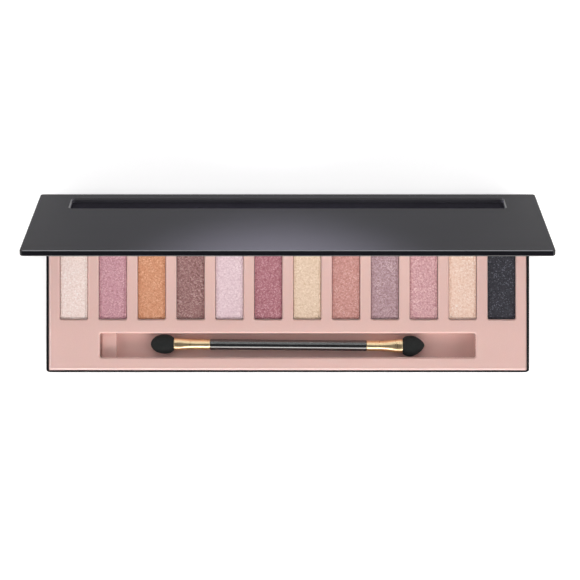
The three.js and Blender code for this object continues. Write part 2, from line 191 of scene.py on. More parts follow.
# Injection-moulded ABS, black. The case and the edges come off a polished mould: deep gloss, with the faint
# waviness and hairlines of handled plastic. The lid's face is satin, with a blurred, quieter reflection.
# The floor of the lid's recess comes off a spark-eroded mould, matt and fine-grained. Its walls are the same
# black plastic as the floor, painted a much paler grey: painted light for the light they catch. The grain is
# drawn coarser than life so that it shows.
# Real ABS has an index of about 1.5. The lower ones here are a choice of look: they keep the bright floor,
# which the lid mirrors, from washing out its black.
blackAbs = {"waveSize": 9 * mm, "waveDepth": 0.1 * mm, "waveStrength": 0.05, "hairSize": 1.2 * mm,
            "hairStretch": (0.12, 1, 1), "hairTurn": 0.5, "hairRange": (0.35, 0.8), "grainSize": 0.25 * mm,
            "grainDepth": 0.03 * mm}
# material name, colour, paler colour, roughness, how much rougher the hairlines are, index, grain strength
blackFinishes = {
    "blackAbs": ("polishedBlackAbs", "#0c0b10", "#131218", 0.08, 0.06, 1.45, 0.0),
    "satinAbs": ("satinBlackAbs", "#0f0e13", "#141319", 0.12, 0.1, 1.1, 0.1),
    "mattAbs": ("sparkErodedBlackAbs", "#1d1c20", "#232226", 0.6, 0.2, 1.02, 0.5),
    # the recess walls' pale grey is painted light, not the plastic's own colour
    "paintedLightWallAbs": ("blackAbsPaintedLightWall", "#46454b", "#4e4d53", 0.5, 0.2, 1.2, 0.5),
}


def mouldedBlackAbs(name, color, light, roughness, spread, index, grain):
    material, tree, shader, place = newMaterial(name, IOR=index)
    values = blackAbs
    wave = addNode(tree, "ShaderNodeTexNoise", {"Vector": place, "Scale": 1 / values["waveSize"],
                                                "Detail": 1.0})
    hairPlace = addNode(tree, "ShaderNodeMapping", {"Vector": place, "Scale": values["hairStretch"],
                                                    "Rotation": (0, 0, values["hairTurn"])}).outputs["Vector"]
    hair = addNode(tree, "ShaderNodeTexNoise", {"Vector": hairPlace, "Scale": 1 / values["hairSize"],
                                                "Detail": 6.0, "Roughness": 0.7})
    spark = addNode(tree, "ShaderNodeTexNoise", {"Vector": place, "Scale": 1 / values["grainSize"],
                                                 "Detail": 3.0})
    hairFrom, hairTo = values["hairRange"]
    rough = addNode(tree, "ShaderNodeMapRange", {"Value": hair.outputs["Fac"], "From Min": hairFrom,
                                                 "From Max": hairTo, "To Min": roughness,
                                                 "To Max": roughness + spread})
    tone = addNode(tree, "ShaderNodeMix", {"Factor": wave.outputs["Fac"], "A": linear(color),
                                           "B": linear(light)}, data_type="RGBA")
    swell = addNode(tree, "ShaderNodeBump", {"Height": wave.outputs["Fac"],
                                             "Strength": values["waveStrength"],
                                             "Distance": values["waveDepth"]})
    bump = addNode(tree, "ShaderNodeBump", {"Height": spark.outputs["Fac"], "Normal": swell.outputs["Normal"],
                                            "Strength": grain, "Distance": values["grainDepth"]})
    dressSurface(tree, shader, tone.outputs["Result"], rough.outputs["Result"], bump.outputs["Normal"])
    return material


# Satin injection-moulded ABS, dusty pink: soft wide highlights over a fine spark-eroded grain, which is drawn
# coarser than life so that it shows.
pinkAbs = {"color": "#dab6b0", "warm": "#e1bcb4", "roughness": 0.25, "smoother": 0.06, "rougher": 0.08,
           "grainSize": 0.22 * mm, "grainDepth": 0.02 * mm, "cloudSize": 28 * mm}


def satinPinkAbs():
    material, tree, shader, place = newMaterial("satinPinkAbs", **{
        "IOR": 1.5, "Subsurface Weight": 0.08, "Subsurface Scale": 1.2 * mm, "Coat Weight": 0.5,
        "Coat Roughness": 0.12})
    cloud = addNode(tree, "ShaderNodeTexNoise", {"Vector": place, "Scale": 1 / pinkAbs["cloudSize"],
                                                 "Detail": 2.0})
    grain = addNode(tree, "ShaderNodeTexNoise", {"Vector": place, "Scale": 1 / pinkAbs["grainSize"],
                                                 "Detail": 3.0})
    tone = addNode(tree, "ShaderNodeMix", {"Factor": cloud.outputs["Fac"], "A": linear(pinkAbs["color"]),
                                           "B": linear(pinkAbs["warm"])}, data_type="RGBA")
    rough = addNode(tree, "ShaderNodeMapRange", {"Value": grain.outputs["Fac"],
                                                 "To Min": pinkAbs["roughness"] - pinkAbs["smoother"],
                                                 "To Max": pinkAbs["roughness"] + pinkAbs["rougher"]})
    bump = addNode(tree, "ShaderNodeBump", {"Height": grain.outputs["Fac"], "Strength": 0.12,
                                            "Distance": pinkAbs["grainDepth"]})
    dressSurface(tree, shader, tone.outputs["Result"], rough.outputs["Result"], bump.outputs["Normal"])
    return material


# Pressed powder with mica: a dry, velvety body full of tiny flakes that catch the light one by one.
# Real flakes are about 0.05 mm; they are drawn several times coarser so that they show.
flakes = {"flakeSize": 0.34 * mm, "flakeTilt": 0.08 * mm, "flakeRoughness": 0.42, "bodyRoughness": 0.85,
          "clumpSize": 0.9 * mm, "clumpDepth": 0.12 * mm, "clumpRange": (0.34, 0.58), "cloudSize": 6 * mm,
          "fade": 0.4}
# body colour, colour in the shade of the grain, colour of the flakes, share of flakes, how metallic they are
shades = [
    ("#f1ddd7", "#e2cac1", "#fffbf7", 0.22, 0.25),
    ("#c998a1", "#ae7784", "#e9c6cc", 0.30, 0.35),
    ("#d39777", "#bb7a56", "#eec1a3", 0.26, 0.40),
    ("#97706f", "#77514f", "#d2b1ac", 0.38, 0.50),
    ("#e1c8ce", "#cdafb8", "#f8e7e9", 0.28, 0.30),
    ("#b07881", "#925561", "#d9acb1", 0.32, 0.35),
    ("#e4cbb6", "#d1b497", "#f9e9d7", 0.26, 0.40),
    ("#c9948d", "#ae756f", "#e6bfb8", 0.28, 0.35),
    ("#b29399", "#917077", "#dcc3c7", 0.36, 0.50),
    ("#d1a3a6", "#b68086", "#f4d7d7", 0.34, 0.45),
    ("#eccebe", "#ddb59f", "#fdefe7", 0.26, 0.35),
    ("#393940", "#222228", "#7b7b88", 0.16, 0.55),
]


def pressedPowder(label, body, shaded, glint, share, metal):
    material, tree, shader, place = newMaterial("pressedPowder" + label, **{
        "IOR": 1.45, "Sheen Weight": 0.12, "Sheen Roughness": 0.4, "Specular IOR Level": 0.35})
    cells = addNode(tree, "ShaderNodeTexVoronoi", {"Vector": place, "Scale": 1 / flakes["flakeSize"]})
    pick = addNode(tree, "ShaderNodeSeparateColor", {"Color": cells.outputs["Color"]})
    clump = addNode(tree, "ShaderNodeTexNoise", {"Vector": place, "Scale": 1 / flakes["clumpSize"],
                                                 "Detail": 4.0, "Roughness": 0.65})
    cloud = addNode(tree, "ShaderNodeTexNoise", {"Vector": place, "Scale": 1 / flakes["cloudSize"],
                                                 "Detail": 2.0})
    clumpFrom, clumpTo = flakes["clumpRange"]
    mottled = addNode(tree, "ShaderNodeMapRange", {"Value": clump.outputs["Fac"], "From Min": clumpFrom,
                                                   "From Max": clumpTo})
    powder = addNode(tree, "ShaderNodeMix", {"Factor": mottled.outputs["Result"], "A": linear(shaded),
                                             "B": linear(body)}, data_type="RGBA")
    isFlake = addNode(tree, "ShaderNodeMapRange", {"Value": pick.outputs["Red"], "From Min": 1 - share,
                                                   "From Max": 1 - share * flakes["fade"]})
    glinting = addNode(tree, "ShaderNodeMath", {0: isFlake.outputs["Result"], 1: cloud.outputs["Fac"]},
                       operation="MULTIPLY")
    color = addNode(tree, "ShaderNodeMix", {"Factor": glinting.outputs["Value"],
                                            "A": powder.outputs["Result"],
                                            "B": linear(glint)}, data_type="RGBA")
    metallic = addNode(tree, "ShaderNodeMath", {0: glinting.outputs["Value"], 1: metal}, operation="MULTIPLY")
    rough = addNode(tree, "ShaderNodeMapRange", {"Value": isFlake.outputs["Result"],
                                                 "To Min": flakes["bodyRoughness"],
                                                 "To Max": flakes["flakeRoughness"]})
    tilt = addNode(tree, "ShaderNodeBump", {"Height": pick.outputs["Green"], "Strength": 0.5,
                                            "Distance": flakes["flakeTilt"]})
    lumps = addNode(tree, "ShaderNodeBump", {"Height": clump.outputs["Fac"], "Normal": tilt.outputs["Normal"],
                                             "Strength": 0.6, "Distance": flakes["clumpDepth"]})
    tree.links.new(metallic.outputs["Value"], shader.inputs["Metallic"])
    dressSurface(tree, shader, color.outputs["Result"], rough.outputs["Result"], lumps.outputs["Normal"])
    return material


# Bare metals: each is a colour, a roughness and a grain that runs along or round the piece.
# Pressed aluminium is pale and slightly matt, with drawing marks.
# Gold anodised aluminium is bright and warm, with fine turning lines round it.
# Nickel plate is cool and mirror-like, and a drawn steel pin is a little duller, with lines along it.
# The grain of all four is drawn coarser than life so that it shows.
# bright colour, dull colour, roughness, how the grain is stretched, size of the grain
metals = {
    "pressedAluminium": ("#cfcdc9", "#b9b7b3", 0.34, (1, 0.08, 1), 0.35 * mm),
    "goldAnodisedAluminium": ("#f6dfb8", "#e6c696", 0.28, (1, 0.06, 0.06), 0.5 * mm),
    "nickelPlatedSteel": ("#c9c6c0", "#bab7b2", 0.16, (1, 1, 1), 1.5 * mm),
    "drawnSteel": ("#b5b6b8", "#9fa0a3", 0.28, (0.05, 1, 1), 0.2 * mm),
}
metalGrain = {"smoother": 0.05, "rougher": 0.08, "depth": 0.02 * mm}


def bareMetal(name):
    bright, dull, roughness, stretch, size = metals[name]
    material, tree, shader, place = newMaterial(name, Metallic=1.0)
    grainPlace = addNode(tree, "ShaderNodeMapping", {"Vector": place, "Scale": stretch}).outputs["Vector"]
    grain = addNode(tree, "ShaderNodeTexNoise", {"Vector": grainPlace, "Scale": 1 / size, "Detail": 4.0})
    tone = addNode(tree, "ShaderNodeMix", {"Factor": grain.outputs["Fac"], "A": linear(dull),
                                           "B": linear(bright)}, data_type="RGBA")
    rough = addNode(tree, "ShaderNodeMapRange", {"Value": grain.outputs["Fac"],
                                                 "To Min": roughness - metalGrain["smoother"],
                                                 "To Max": roughness + metalGrain["rougher"]})
    bump = addNode(tree, "ShaderNodeBump", {"Height": grain.outputs["Fac"], "Strength": 0.1,
                                            "Distance": metalGrain["depth"]})
    dressSurface(tree, shader, tone.outputs["Result"], rough.outputs["Result"], bump.outputs["Normal"])
    return material


# Silvered float glass: a clean, near-perfect reflection with a trace of fingertip haze.
glassHaze = {"size": 14 * mm, "clean": 0.012, "hazy": 0.05}


def silveredGlass():
    material, tree, shader, place = newMaterial("silveredGlass", Metallic=1.0)
    haze = addNode(tree, "ShaderNodeTexNoise", {"Vector": place, "Scale": 1 / glassHaze["size"],
                                                "Detail": 5.0, "Roughness": 0.6})
    rough = addNode(tree, "ShaderNodeMapRange", {"Value": haze.outputs["Fac"], "From Min": 0.45,
                                                 "From Max": 0.75, "To Min": glassHaze["clean"],
                                                 "To Max": glassHaze["hazy"]})
    tone = addNode(tree, "ShaderNodeMix", {"Factor": haze.outputs["Fac"], "A": linear("#eef2f1"),
                                           "B": linear("#e3e9e8")}, data_type="RGBA")
    dressSurface(tree, shader, tone.outputs["Result"], rough.outputs["Result"])
    return material


# Black lacquered rod: wet-looking gloss over a slightly uneven dip coat. Its index is above a real lacquer's
# (about 1.5), as a choice of look, which gives the rod broad, clear highlights.
lacquer = {"index": 1.9, "sagSize": 5 * mm, "sagDepth": 0.05 * mm, "smooth": 0.17, "rough": 0.23}


def blackLacquer():
    material, tree, shader, place = newMaterial("blackLacquer", **{
        "IOR": lacquer["index"], "Coat Weight": 0.8, "Coat Roughness": 0.03})
    sag = addNode(tree, "ShaderNodeTexNoise", {"Vector": place, "Scale": 1 / lacquer["sagSize"],
                                               "Detail": 2.0})
    tone = addNode(tree, "ShaderNodeMix", {"Factor": sag.outputs["Fac"], "A": linear("#08080a"),
                                           "B": linear("#101114")}, data_type="RGBA")
    rough = addNode(tree, "ShaderNodeMapRange", {"Value": sag.outputs["Fac"], "To Min": lacquer["smooth"],
                                                 "To Max": lacquer["rough"]})
    bump = addNode(tree, "ShaderNodeBump", {"Height": sag.outputs["Fac"], "Strength": 0.06,
                                            "Distance": lacquer["sagDepth"]})
    dressSurface(tree, shader, tone.outputs["Result"], rough.outputs["Result"], bump.outputs["Normal"])
    return material


# Fine-celled foam: dry and soft, speckled by open cells, which are drawn coarser than life so that they show.
# The darker colour in each cell's hollow is painted shade.
# The sponges are soot-dark latex foam, and the mirror's tape is white foam.
foamCells = {"dustSize": 2 * mm, "depth": 0.08 * mm}


def celledFoam(name, body, poreShadeColor, cellSize):
    material, tree, shader, place = newMaterial(name, **{
        "IOR": 1.4, "Sheen Weight": 0.1, "Sheen Roughness": 0.5, "Specular IOR Level": 0.2})
    cells = addNode(tree, "ShaderNodeTexVoronoi", {"Vector": place, "Scale": 1 / cellSize})
    dust = addNode(tree, "ShaderNodeTexNoise", {"Vector": place, "Scale": 1 / foamCells["dustSize"],
                                                "Detail": 4.0})
    poreDepthAndShade = addNode(tree, "ShaderNodeMapRange", {"Value": cells.outputs["Distance"], "From Min": 0.1,
                                                    "From Max": 0.45})
    # the darker colour at each cell's middle is painted shade in the pore; the bump below gives the pore its
    # depth
    tone = addNode(tree, "ShaderNodeMix", {"Factor": poreDepthAndShade.outputs["Result"], "A": linear(poreShadeColor),
                                           "B": linear(body)}, data_type="RGBA")
    rough = addNode(tree, "ShaderNodeMapRange", {"Value": dust.outputs["Fac"], "To Min": 0.82, "To Max": 1.0})
    bump = addNode(tree, "ShaderNodeBump", {"Height": poreDepthAndShade.outputs["Result"], "Strength": 0.6,
                                            "Distance": foamCells["depth"]})
    dressSurface(tree, shader, tone.outputs["Result"], rough.outputs["Result"], bump.outputs["Normal"])
    return material


# Moulded natural nylon: milky and slightly waxy.
nylon = {"cloudSize": 3 * mm, "scatter": 1 * mm}


def naturalNylon():
    material, tree, shader, place = newMaterial("naturalNylon", **{
        "IOR": 1.53, "Subsurface Weight": 0.2, "Subsurface Scale": nylon["scatter"]})
    cloud = addNode(tree, "ShaderNodeTexNoise", {"Vector": place, "Scale": 1 / nylon["cloudSize"],
                                                 "Detail": 3.0})
    tone = addNode(tree, "ShaderNodeMix", {"Factor": cloud.outputs["Fac"], "A": linear("#e4e1d9"),
                                           "B": linear("#efede7")}, data_type="RGBA")
    rough = addNode(tree, "ShaderNodeMapRange", {"Value": cloud.outputs["Fac"], "To Min": 0.4,
                                                 "To Max": 0.55})
    dressSurface(tree, shader, tone.outputs["Result"], rough.outputs["Result"])
    return material


finishes = {name: bareMetal(name) for name in metals}
finishes.update({key: mouldedBlackAbs(*values) for key, values in blackFinishes.items()})
finishes["pinkAbs"] = satinPinkAbs()
finishes["mirror"] = silveredGlass()
finishes["lacquer"] = blackLacquer()
finishes["foam"] = celledFoam("blackLatexFoam", "#242626", "#101111", 0.3 * mm)
finishes["tape"] = celledFoam("whiteFoamTape", "#e8e6de", "#c9c6bb", 0.4 * mm)
finishes["nylon"] = naturalNylon()
print("materials made")


# The three mouldings keep their designed shape; every edge gets the radius that a polished mould gives it.
mouldings = {
    "base_shell": {"edge": 0.22 * mm, "steps": 3, "rimDepth": 1.5 * mm, "foot": 0.7 * mm, "footSteps": 4},
    "pan_tray": {"edge": 0.14 * mm, "steps": 3, "deckDepth": 1.4 * mm, "rim": 0.75 * mm, "rimDrop": 0.39 * mm,
                 "corner": 0.6 * mm},
    "lid_shell": {"edge": 0.5 * mm, "underEdge": 1.5 * mm, "inner": 0.12 * mm, "border": 1.4 * mm,
                  "rearBorder": 1.2 * mm, "levelSlack": 0.01 * mm},
}
# Only the drawn case and tray have this thinner front wall: the measured solid keeps its own.
frontWall = {"from": 0.6 * mm, "to": 1.7 * mm, "thinner": 0.28 * mm}
trayLow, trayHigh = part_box("pan_tray")
baseLow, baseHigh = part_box("base_shell")
rimTop = trayHigh.z


def thinFrontWall(bm):
    # draws the front wall's rim a little thinner than the side walls'
    for vertex in bm.verts:
        if baseLow.y + frontWall["from"] < vertex.co.y < baseLow.y + frontWall["to"]:
            vertex.co.y -= frontWall["thinner"]


def roundedBase():
    values = mouldings["base_shell"]
    bm = solidCopy("base_shell")
    thinFrontWall(bm)
    bevelEdges(bm, sharpEdges(bm, 60, lambda p: p.z < baseLow.z + tiny), values["foot"],
               values["footSteps"])
    rim = sharpEdges(bm, 30, lambda p: p.z > rimTop - values["rimDepth"] or p.y > baseHigh.y - tiny)
    bevelEdges(bm, rim, values["edge"], values["steps"])
    piece = makePiece(bm, "baseCase", "base", [finishes["blackAbs"]], ["base_shell"])
    evenShading(piece)


def roundedTray():
    values = mouldings["pan_tray"]
    bm = solidCopy("pan_tray")
    corners = [vertex for vertex in bm.verts if trayHigh.x - abs(vertex.co.x) < values["corner"]
               and min(vertex.co.y - trayLow.y, trayHigh.y - vertex.co.y) < values["corner"]]
    bmesh.ops.remove_doubles(bm, verts=corners, dist=values["corner"])
    thinFrontWall(bm)

    def onRim(p):
        atSide = abs(p.x) > trayHigh.x - values["corner"]
        atFront = p.y < trayLow.y + values["corner"] - frontWall["thinner"]
        return p.z > rimTop - tiny and (atSide or atFront)

    bevelEdges(bm, sharpEdges(bm, 60, onRim), values["rim"], 1, clamped=False)
    # the bevel leaves the chamfer's foot as low as it is wide, and this raises it to a flatter slope
    chamferFoot = rimTop - values["rim"]
    for vertex in bm.verts:
        if abs(vertex.co.z - chamferFoot) < tiny:
            vertex.co.z = rimTop - values["rimDrop"]
    openings = sharpEdges(bm, 30, lambda p: p.z > rimTop - values["deckDepth"] and not onRim(p))
    bevelEdges(bm, openings, values["edge"], values["steps"])
    piece = makePiece(bm, "powderTray", "base", [finishes["pinkAbs"]], ["pan_tray"],
                      sharp=24)
    evenShading(piece)


roundedBase()
roundedTray()
print("case and tray made")

# The lid is worked on as if closed, with the hinge axis at the origin.
hinge = joints["lid_hinge"]
lidPlace = Matrix.Translation(hinge["pos_m"]) @ Matrix.Rotation(math.radians(hinge["range_deg"][0]), 4, "X")
lidLow, lidHigh = localBox("lid_shell", lidPlace)
# the lid's finishes, in the order of its material slots
lidLooks = {"body": "blackAbs", "recessFloor": "mattAbs", "face": "satinAbs", "recessWalls": "paintedLightWallAbs"}
lidSlots = {part: index for index, part in enumerate(lidLooks)}


def roundedLid():
    values = mouldings["lid_shell"]
    bm = solidCopy("lid_shell")
    bmesh.ops.transform(bm, matrix=lidPlace.inverted(), verts=bm.verts)
    middle = (lidLow.z + lidHigh.z) / 2

    def onOutline(p):
        atSide = abs(p.x) > lidHigh.x - values["border"]
        atFree = p.y < lidLow.y + values["border"]
        atRear = p.y > lidHigh.y - values["rearBorder"]
        return p.z > middle and (atSide or atFree or atRear)

    floorLevel = min(face.calc_center_median().z for face in bm.faces
                     if face.normal.z > 0.9 and face.calc_center_median().z > middle)
    for face in bm.faces:
        lowest = min(vertex.co.z for vertex in face.verts)
        if abs(lowest - floorLevel) < values["levelSlack"] and face.normal.z > -0.5:
            face.material_index = lidSlots["recessFloor" if face.normal.z > 0.5 else "recessWalls"]
        elif lowest > lidHigh.z - tiny:
            face.material_index = lidSlots["face"]
    outline = [edge for edge in sharpEdges(bm, 60, onOutline)
               if abs(edge.verts[0].co.z - edge.verts[1].co.z) < tiny]
    upper = [edge for edge in outline if edge.verts[0].co.z > lidHigh.z - tiny]
    under = [edge for edge in outline if edge.verts[0].co.z < lidHigh.z - tiny]
    bevelEdges(bm, upper, values["edge"], 1)
    bevelEdges(bm, [edge for edge in under if edge.is_valid], values["underEdge"], 1)
    for face in bm.faces:
        if face.material_index == lidSlots["face"] and face.normal.z < 0.99:
            face.material_index = lidSlots["body"]
    bevelEdges(bm, sharpEdges(bm, 40), values["inner"], 2)
    looks = [finishes[key] for key in lidLooks.values()]
    piece = makePiece(bm, "lidPanel", "lid", looks, ["lid_shell"], lidPlace)
    evenShading(piece)


# Mirror: float glass with a narrow ground bevel on its face.
mirrorValues = {"corner": 1.5 * mm, "bevel": 0.45 * mm, "steps": 6}


def makeMirror():
    low, high = localBox("mirror", lidPlace)
    bm = roundedBlock(low, high, mirrorValues["corner"], mirrorValues["steps"])
    face = faceAt(bm, Vector((0, 0, -1)))
    bevelEdges(bm, list(face.edges), mirrorValues["bevel"], 1)
    makePiece(bm, "lidMirror", "lid", [finishes["mirror"]], ["mirror"], lidPlace, sharp=12)


# Foam tape behind the mirror, with softened edges and the mirror's outline.
tapeValues = {"edge": 0.08 * mm, "steps": 2}


def makeTape():
    low, high = localBox("mirror_adhesive", lidPlace)
    bm = roundedBlock(low, high, mirrorValues["corner"], mirrorValues["steps"])
    bevelEdges(bm, list(faceAt(bm, Vector((0, 0, 1))).edges), tapeValues["edge"], tapeValues["steps"])
    makePiece(bm, "mirrorTape", "lid", [finishes["tape"]], ["mirror_adhesive"], lidPlace)


# Plated discs: the lid's steel discs and the base's magnets, with turned edges.
discValues = {"edge": 0.22 * mm, "bend": 0.3, "steps": 72}


def makeDisc(name, node, body, place):
    low, high = localBox(node, place)
    radius = (high.x - low.x) / 2
    thick = high.z - low.z
    edge = discValues["edge"]
    bend = edge * discValues["bend"]
    profile = [(0, 0), (0, radius - edge), (bend, radius - bend), (edge, radius), (thick - edge, radius),
               (thick - bend, radius - bend), (thick, radius - edge), (thick, 0)]
    bm = spinBar(profile, discValues["steps"])
    upright = Matrix.Rotation(-math.pi / 2, 4, "Y")
    middle = Matrix.Translation(((low.x + high.x) / 2, (low.y + high.y) / 2, low.z))
    bmesh.ops.transform(bm, matrix=middle @ upright, verts=bm.verts)
    makePiece(bm, name, body, [finishes["nickelPlatedSteel"]], [node], place)


# Hinge pins: drawn steel with a domed end that shows in the side of the case.
# the dome's flat and its shoulder are shares of the pin's radius, and shoulderAt is a share of the dome
pinValues = {"dome": 0.18 * mm, "flat": 0.55, "shoulder": 0.85, "shoulderAt": 0.35, "steps": 48}


def makePin(name, node):
    low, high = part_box(node)
    radius = (high.z - low.z) / 2
    dome = pinValues["dome"]
    flat = radius * pinValues["flat"]
    shoulder = radius * pinValues["shoulder"]
    inset = dome * pinValues["shoulderAt"]
    profile = [(low.x, 0), (low.x, flat), (low.x + inset, shoulder), (low.x + dome, radius),
               (high.x - dome, radius), (high.x - inset, shoulder), (high.x, flat), (high.x, 0)]
    bm = spinBar(profile, pinValues["steps"])
    bmesh.ops.translate(bm, vec=(0, (low.y + high.y) / 2, (low.z + high.z) / 2), verts=bm.verts)
    makePiece(bm, name, "base", [finishes["drawnSteel"]], [node])


roundedLid()
makeMirror()
makeTape()
for side in sides:
    makeDisc("lidDisc" + side.title(), "lid_disc_" + side, "lid", lidPlace)
    makeDisc("baseMagnet" + side.title(), "base_magnet_" + side, "base", Matrix.Identity(4))
    makePin("hingePin" + side.title(), "hinge_pin_" + side)
print("lid and hinge made")

# Pans: pressed metal trays with a rounded foot and rim.
panValues = {"wall": 0.38 * mm, "corner": 0.65 * mm, "cornerSteps": 5, "foot": 0.3 * mm, "footSteps": 3,
             "rim": 0.12 * mm, "rimSteps": 2}
labels = [str(index + 1).zfill(2) for index in range(len(shades))]


def makePan(label):
    low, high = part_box("pan_" + label)
    bm = roundedBlock(low, high, panValues["corner"], panValues["cornerSteps"])
    bevelEdges(bm, list(faceAt(bm, Vector((0, 0, -1))).edges), panValues["foot"], panValues["footSteps"])
    mouth = faceAt(bm, Vector((0, 0, 1)))
    insetFace(bm, mouth, panValues["wall"])
    insetFace(bm, mouth, 0, panValues["wall"] - (high.z - low.z))
    rim = sharpEdges(bm, 60, lambda p: p.z > high.z - tiny)
    bevelEdges(bm, rim, panValues["rim"], panValues["rimSteps"])
    makePiece(bm, "pan" + label, "base", [finishes["pressedAluminium"]], ["pan_" + label])


# Powder cakes: pressed over the pan's rim, with rounded shoulders, a flat lip, the press's groove and a
# gently crowned field. The field's relief is real: soft lumps a few hundredths of a millimetre high.
# The two pairs of grooveBand say where the groove runs, as shares of the cake's half width and half length.
cakeValues = {"clearance": 0.1 * mm, "shoulder": 0.34 * mm, "shoulderSteps": 4, "lip": 0.3 * mm,
              "groove": 0.2 * mm, "grooveDepth": 0.16 * mm, "grooveBand": ((0.8, 0.93), (0.94, 0.985)),
              "crown": 0.1 * mm, "crownPowers": (4, 8), "grid": 0.6 * mm, "relief": 0.04 * mm,
              "reliefFade": (6, 18), "lumpSize": 1.1 * mm, "seedStep": 7.3, "wander": 0.07 * mm,
              "wanderScale": 0.45, "above": 0.03 * mm}


def crossCut(bm, low, high, step):
    # cuts a mesh into a grid seen from above
    for axis in (0, 1):
        direction = [0, 0, 0]
        direction[axis] = 1
        count = round((high[axis] - low[axis]) / step)
        for index in range(1, count):
            point = [0, 0, 0]
            point[axis] = low[axis] + (high[axis] - low[axis]) * index / count
            bmesh.ops.bisect_plane(bm, geom=bm.verts[:] + bm.edges[:] + bm.faces[:], dist=tiny,
                                   plane_co=point, plane_no=direction)


def makeCake(label, material, seed):
    values = cakeValues
    panLow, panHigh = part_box("pan_" + label)
    low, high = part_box("shadow_" + label)
    middle = (panLow + panHigh) / 2
    clearance = Vector((values["clearance"], values["clearance"], 0))
    bottom = Vector((panLow.x, panLow.y, panHigh.z + values["above"])) + clearance
    top = Vector((panHigh.x, panHigh.y, high.z - values["crown"])) - clearance
    bm = roundedBlock(bottom, top, panValues["corner"], panValues["cornerSteps"])
    foot = faceAt(bm, Vector((0, 0, -1)))
    insetFace(bm, foot, low.x - bottom.x)
    insetFace(bm, foot, 0, bottom.z - low.z)
    face = faceAt(bm, Vector((0, 0, 1)))
    bevelEdges(bm, list(face.edges), values["shoulder"], values["shoulderSteps"])
    face = max((face for face in bm.faces if face.normal.z > 0.9), key=lambda face: face.calc_area())
    insetFace(bm, face, values["lip"])
    insetFace(bm, face, values["groove"] / 2, -values["grooveDepth"])
    insetFace(bm, face, values["groove"], values["grooveDepth"])
    crossCut(bm, panLow, panHigh, values["grid"])
    halfX = (top.x - bottom.x) / 2
    halfY = (top.y - bottom.y) / 2
    powerX, powerY = values["crownPowers"]
    fadeX, fadeY = values["reliefFade"]
    bandX, bandY = values["grooveBand"]
    for vertex in bm.verts:
        point = vertex.co
        if point.z < bottom.z + tiny:
            continue
        across = min(1, abs(point.x - middle.x) / halfX)
        along = min(1, abs(point.y - middle.y) / halfY)
        place = point / values["lumpSize"] + Vector((0, 0, seed * values["seedStep"]))
        rise = values["crown"] * (1 - across ** powerX) * (1 - along ** powerY)
        inner = min(1, fadeX * (1 - across), fadeY * (1 - along))
        point.z += rise + values["relief"] * inner * (noise.noise(place) - 0.5)
        wander = values["wander"] * noise.noise(place * values["wanderScale"])
        if bandX[0] < across < bandX[1]:
            point.x += wander
        if bandY[0] < along < bandY[1]:
            point.y += wander
    makePiece(bm, "powder" + label, "base", [material], ["shadow_" + label], sharp=60)


for index, label in enumerate(labels):
    makePan(label)
    makeCake(label, pressedPowder(label, *shades[index]), index)
print("pans and powders made")

# The applicator is worked on with its axis along X and its middle at the origin.
endFace = 0.1 * mm  # how near to a round part's end a corner counts as being on its end face


def rodEnd(side):
    # the middle of the rod's end face on one side
    points = [vertex.co for vertex in nodes["applicator_handle"].data.vertices]
    reach = max(point.x * side for point in points)
    face = [point for point in points if point.x * side > reach - endFace]
    low, high = [Vector([pick(axis) for axis in zip(*face)]) for pick in (min, max)]
    return (low + high) / 2


leftEnd = rodEnd(-1)
rightEnd = rodEnd(1)
applicatorTurn = math.atan2(rightEnd.y - leftEnd.y, rightEnd.x - leftEnd.x)
applicatorPlace = Matrix.Translation((leftEnd + rightEnd) / 2) @ Matrix.Rotation(applicatorTurn, 4, "Z")
endPlaces = {"left": applicatorPlace @ Matrix.Rotation(math.pi, 4, "Z"), "right": applicatorPlace}
# each pair of the turn is how far a point of the rounded shoulder lies back and down, as shares of the edge
handleValues = {"edge": 0.35 * mm, "turn": ((0.1, 0.56), (0.44, 0.1)), "waist": 0.04 * mm, "waistMiddle": 1.3,
                "spigot": 5 * mm, "ferruleGap": 0.3 * mm, "steps": 96}


def makeHandle():
    low, high = localBox("applicator_handle", applicatorPlace)
    radius = (high.z - low.z) / 2
    edge = handleValues["edge"]
    shoulder = high.x - handleValues["spigot"]
    ferruleBore = localBox("ferrule_right", applicatorPlace)[1].z - handleValues["ferruleGap"]
    turn = [(shoulder - edge * back, radius - edge * down) for back, down in handleValues["turn"]]
    half = [(high.x, 0), (high.x, ferruleBore), (shoulder, ferruleBore), (shoulder, radius - edge), *turn,
            (shoulder - edge, radius), (shoulder * 0.5, radius - handleValues["waist"]),
            (0, radius - handleValues["waist"] * handleValues["waistMiddle"])]
    profile = [(-x, r) for x, r in half] + half[-2::-1]
    bm = spinBar(profile, handleValues["steps"])
    makePiece(bm, "handle", "applicator", [finishes["lacquer"]], ["applicator_handle"],
              applicatorPlace)


# Ferrules: thin gold tube, turned with a rolled lip and two fine beads, then squeezed flat and crimped.
ferruleValues = {"wall": 0.25 * mm, "round": 5 * mm, "lip": 0.1 * mm, "lipLength": 0.18 * mm,
                 "bead": 0.07 * mm, "beadSize": 0.16 * mm, "beads": (1.2 * mm, 1.75 * mm),
                 "crimp": 0.12 * mm, "crimpBack": 2.6 * mm, "crimpSize": 1.2 * mm, "steps": 96, "rows": 72}


def smooth(value):
    value = min(1, max(0, value))
    return value * value * (3 - 2 * value)


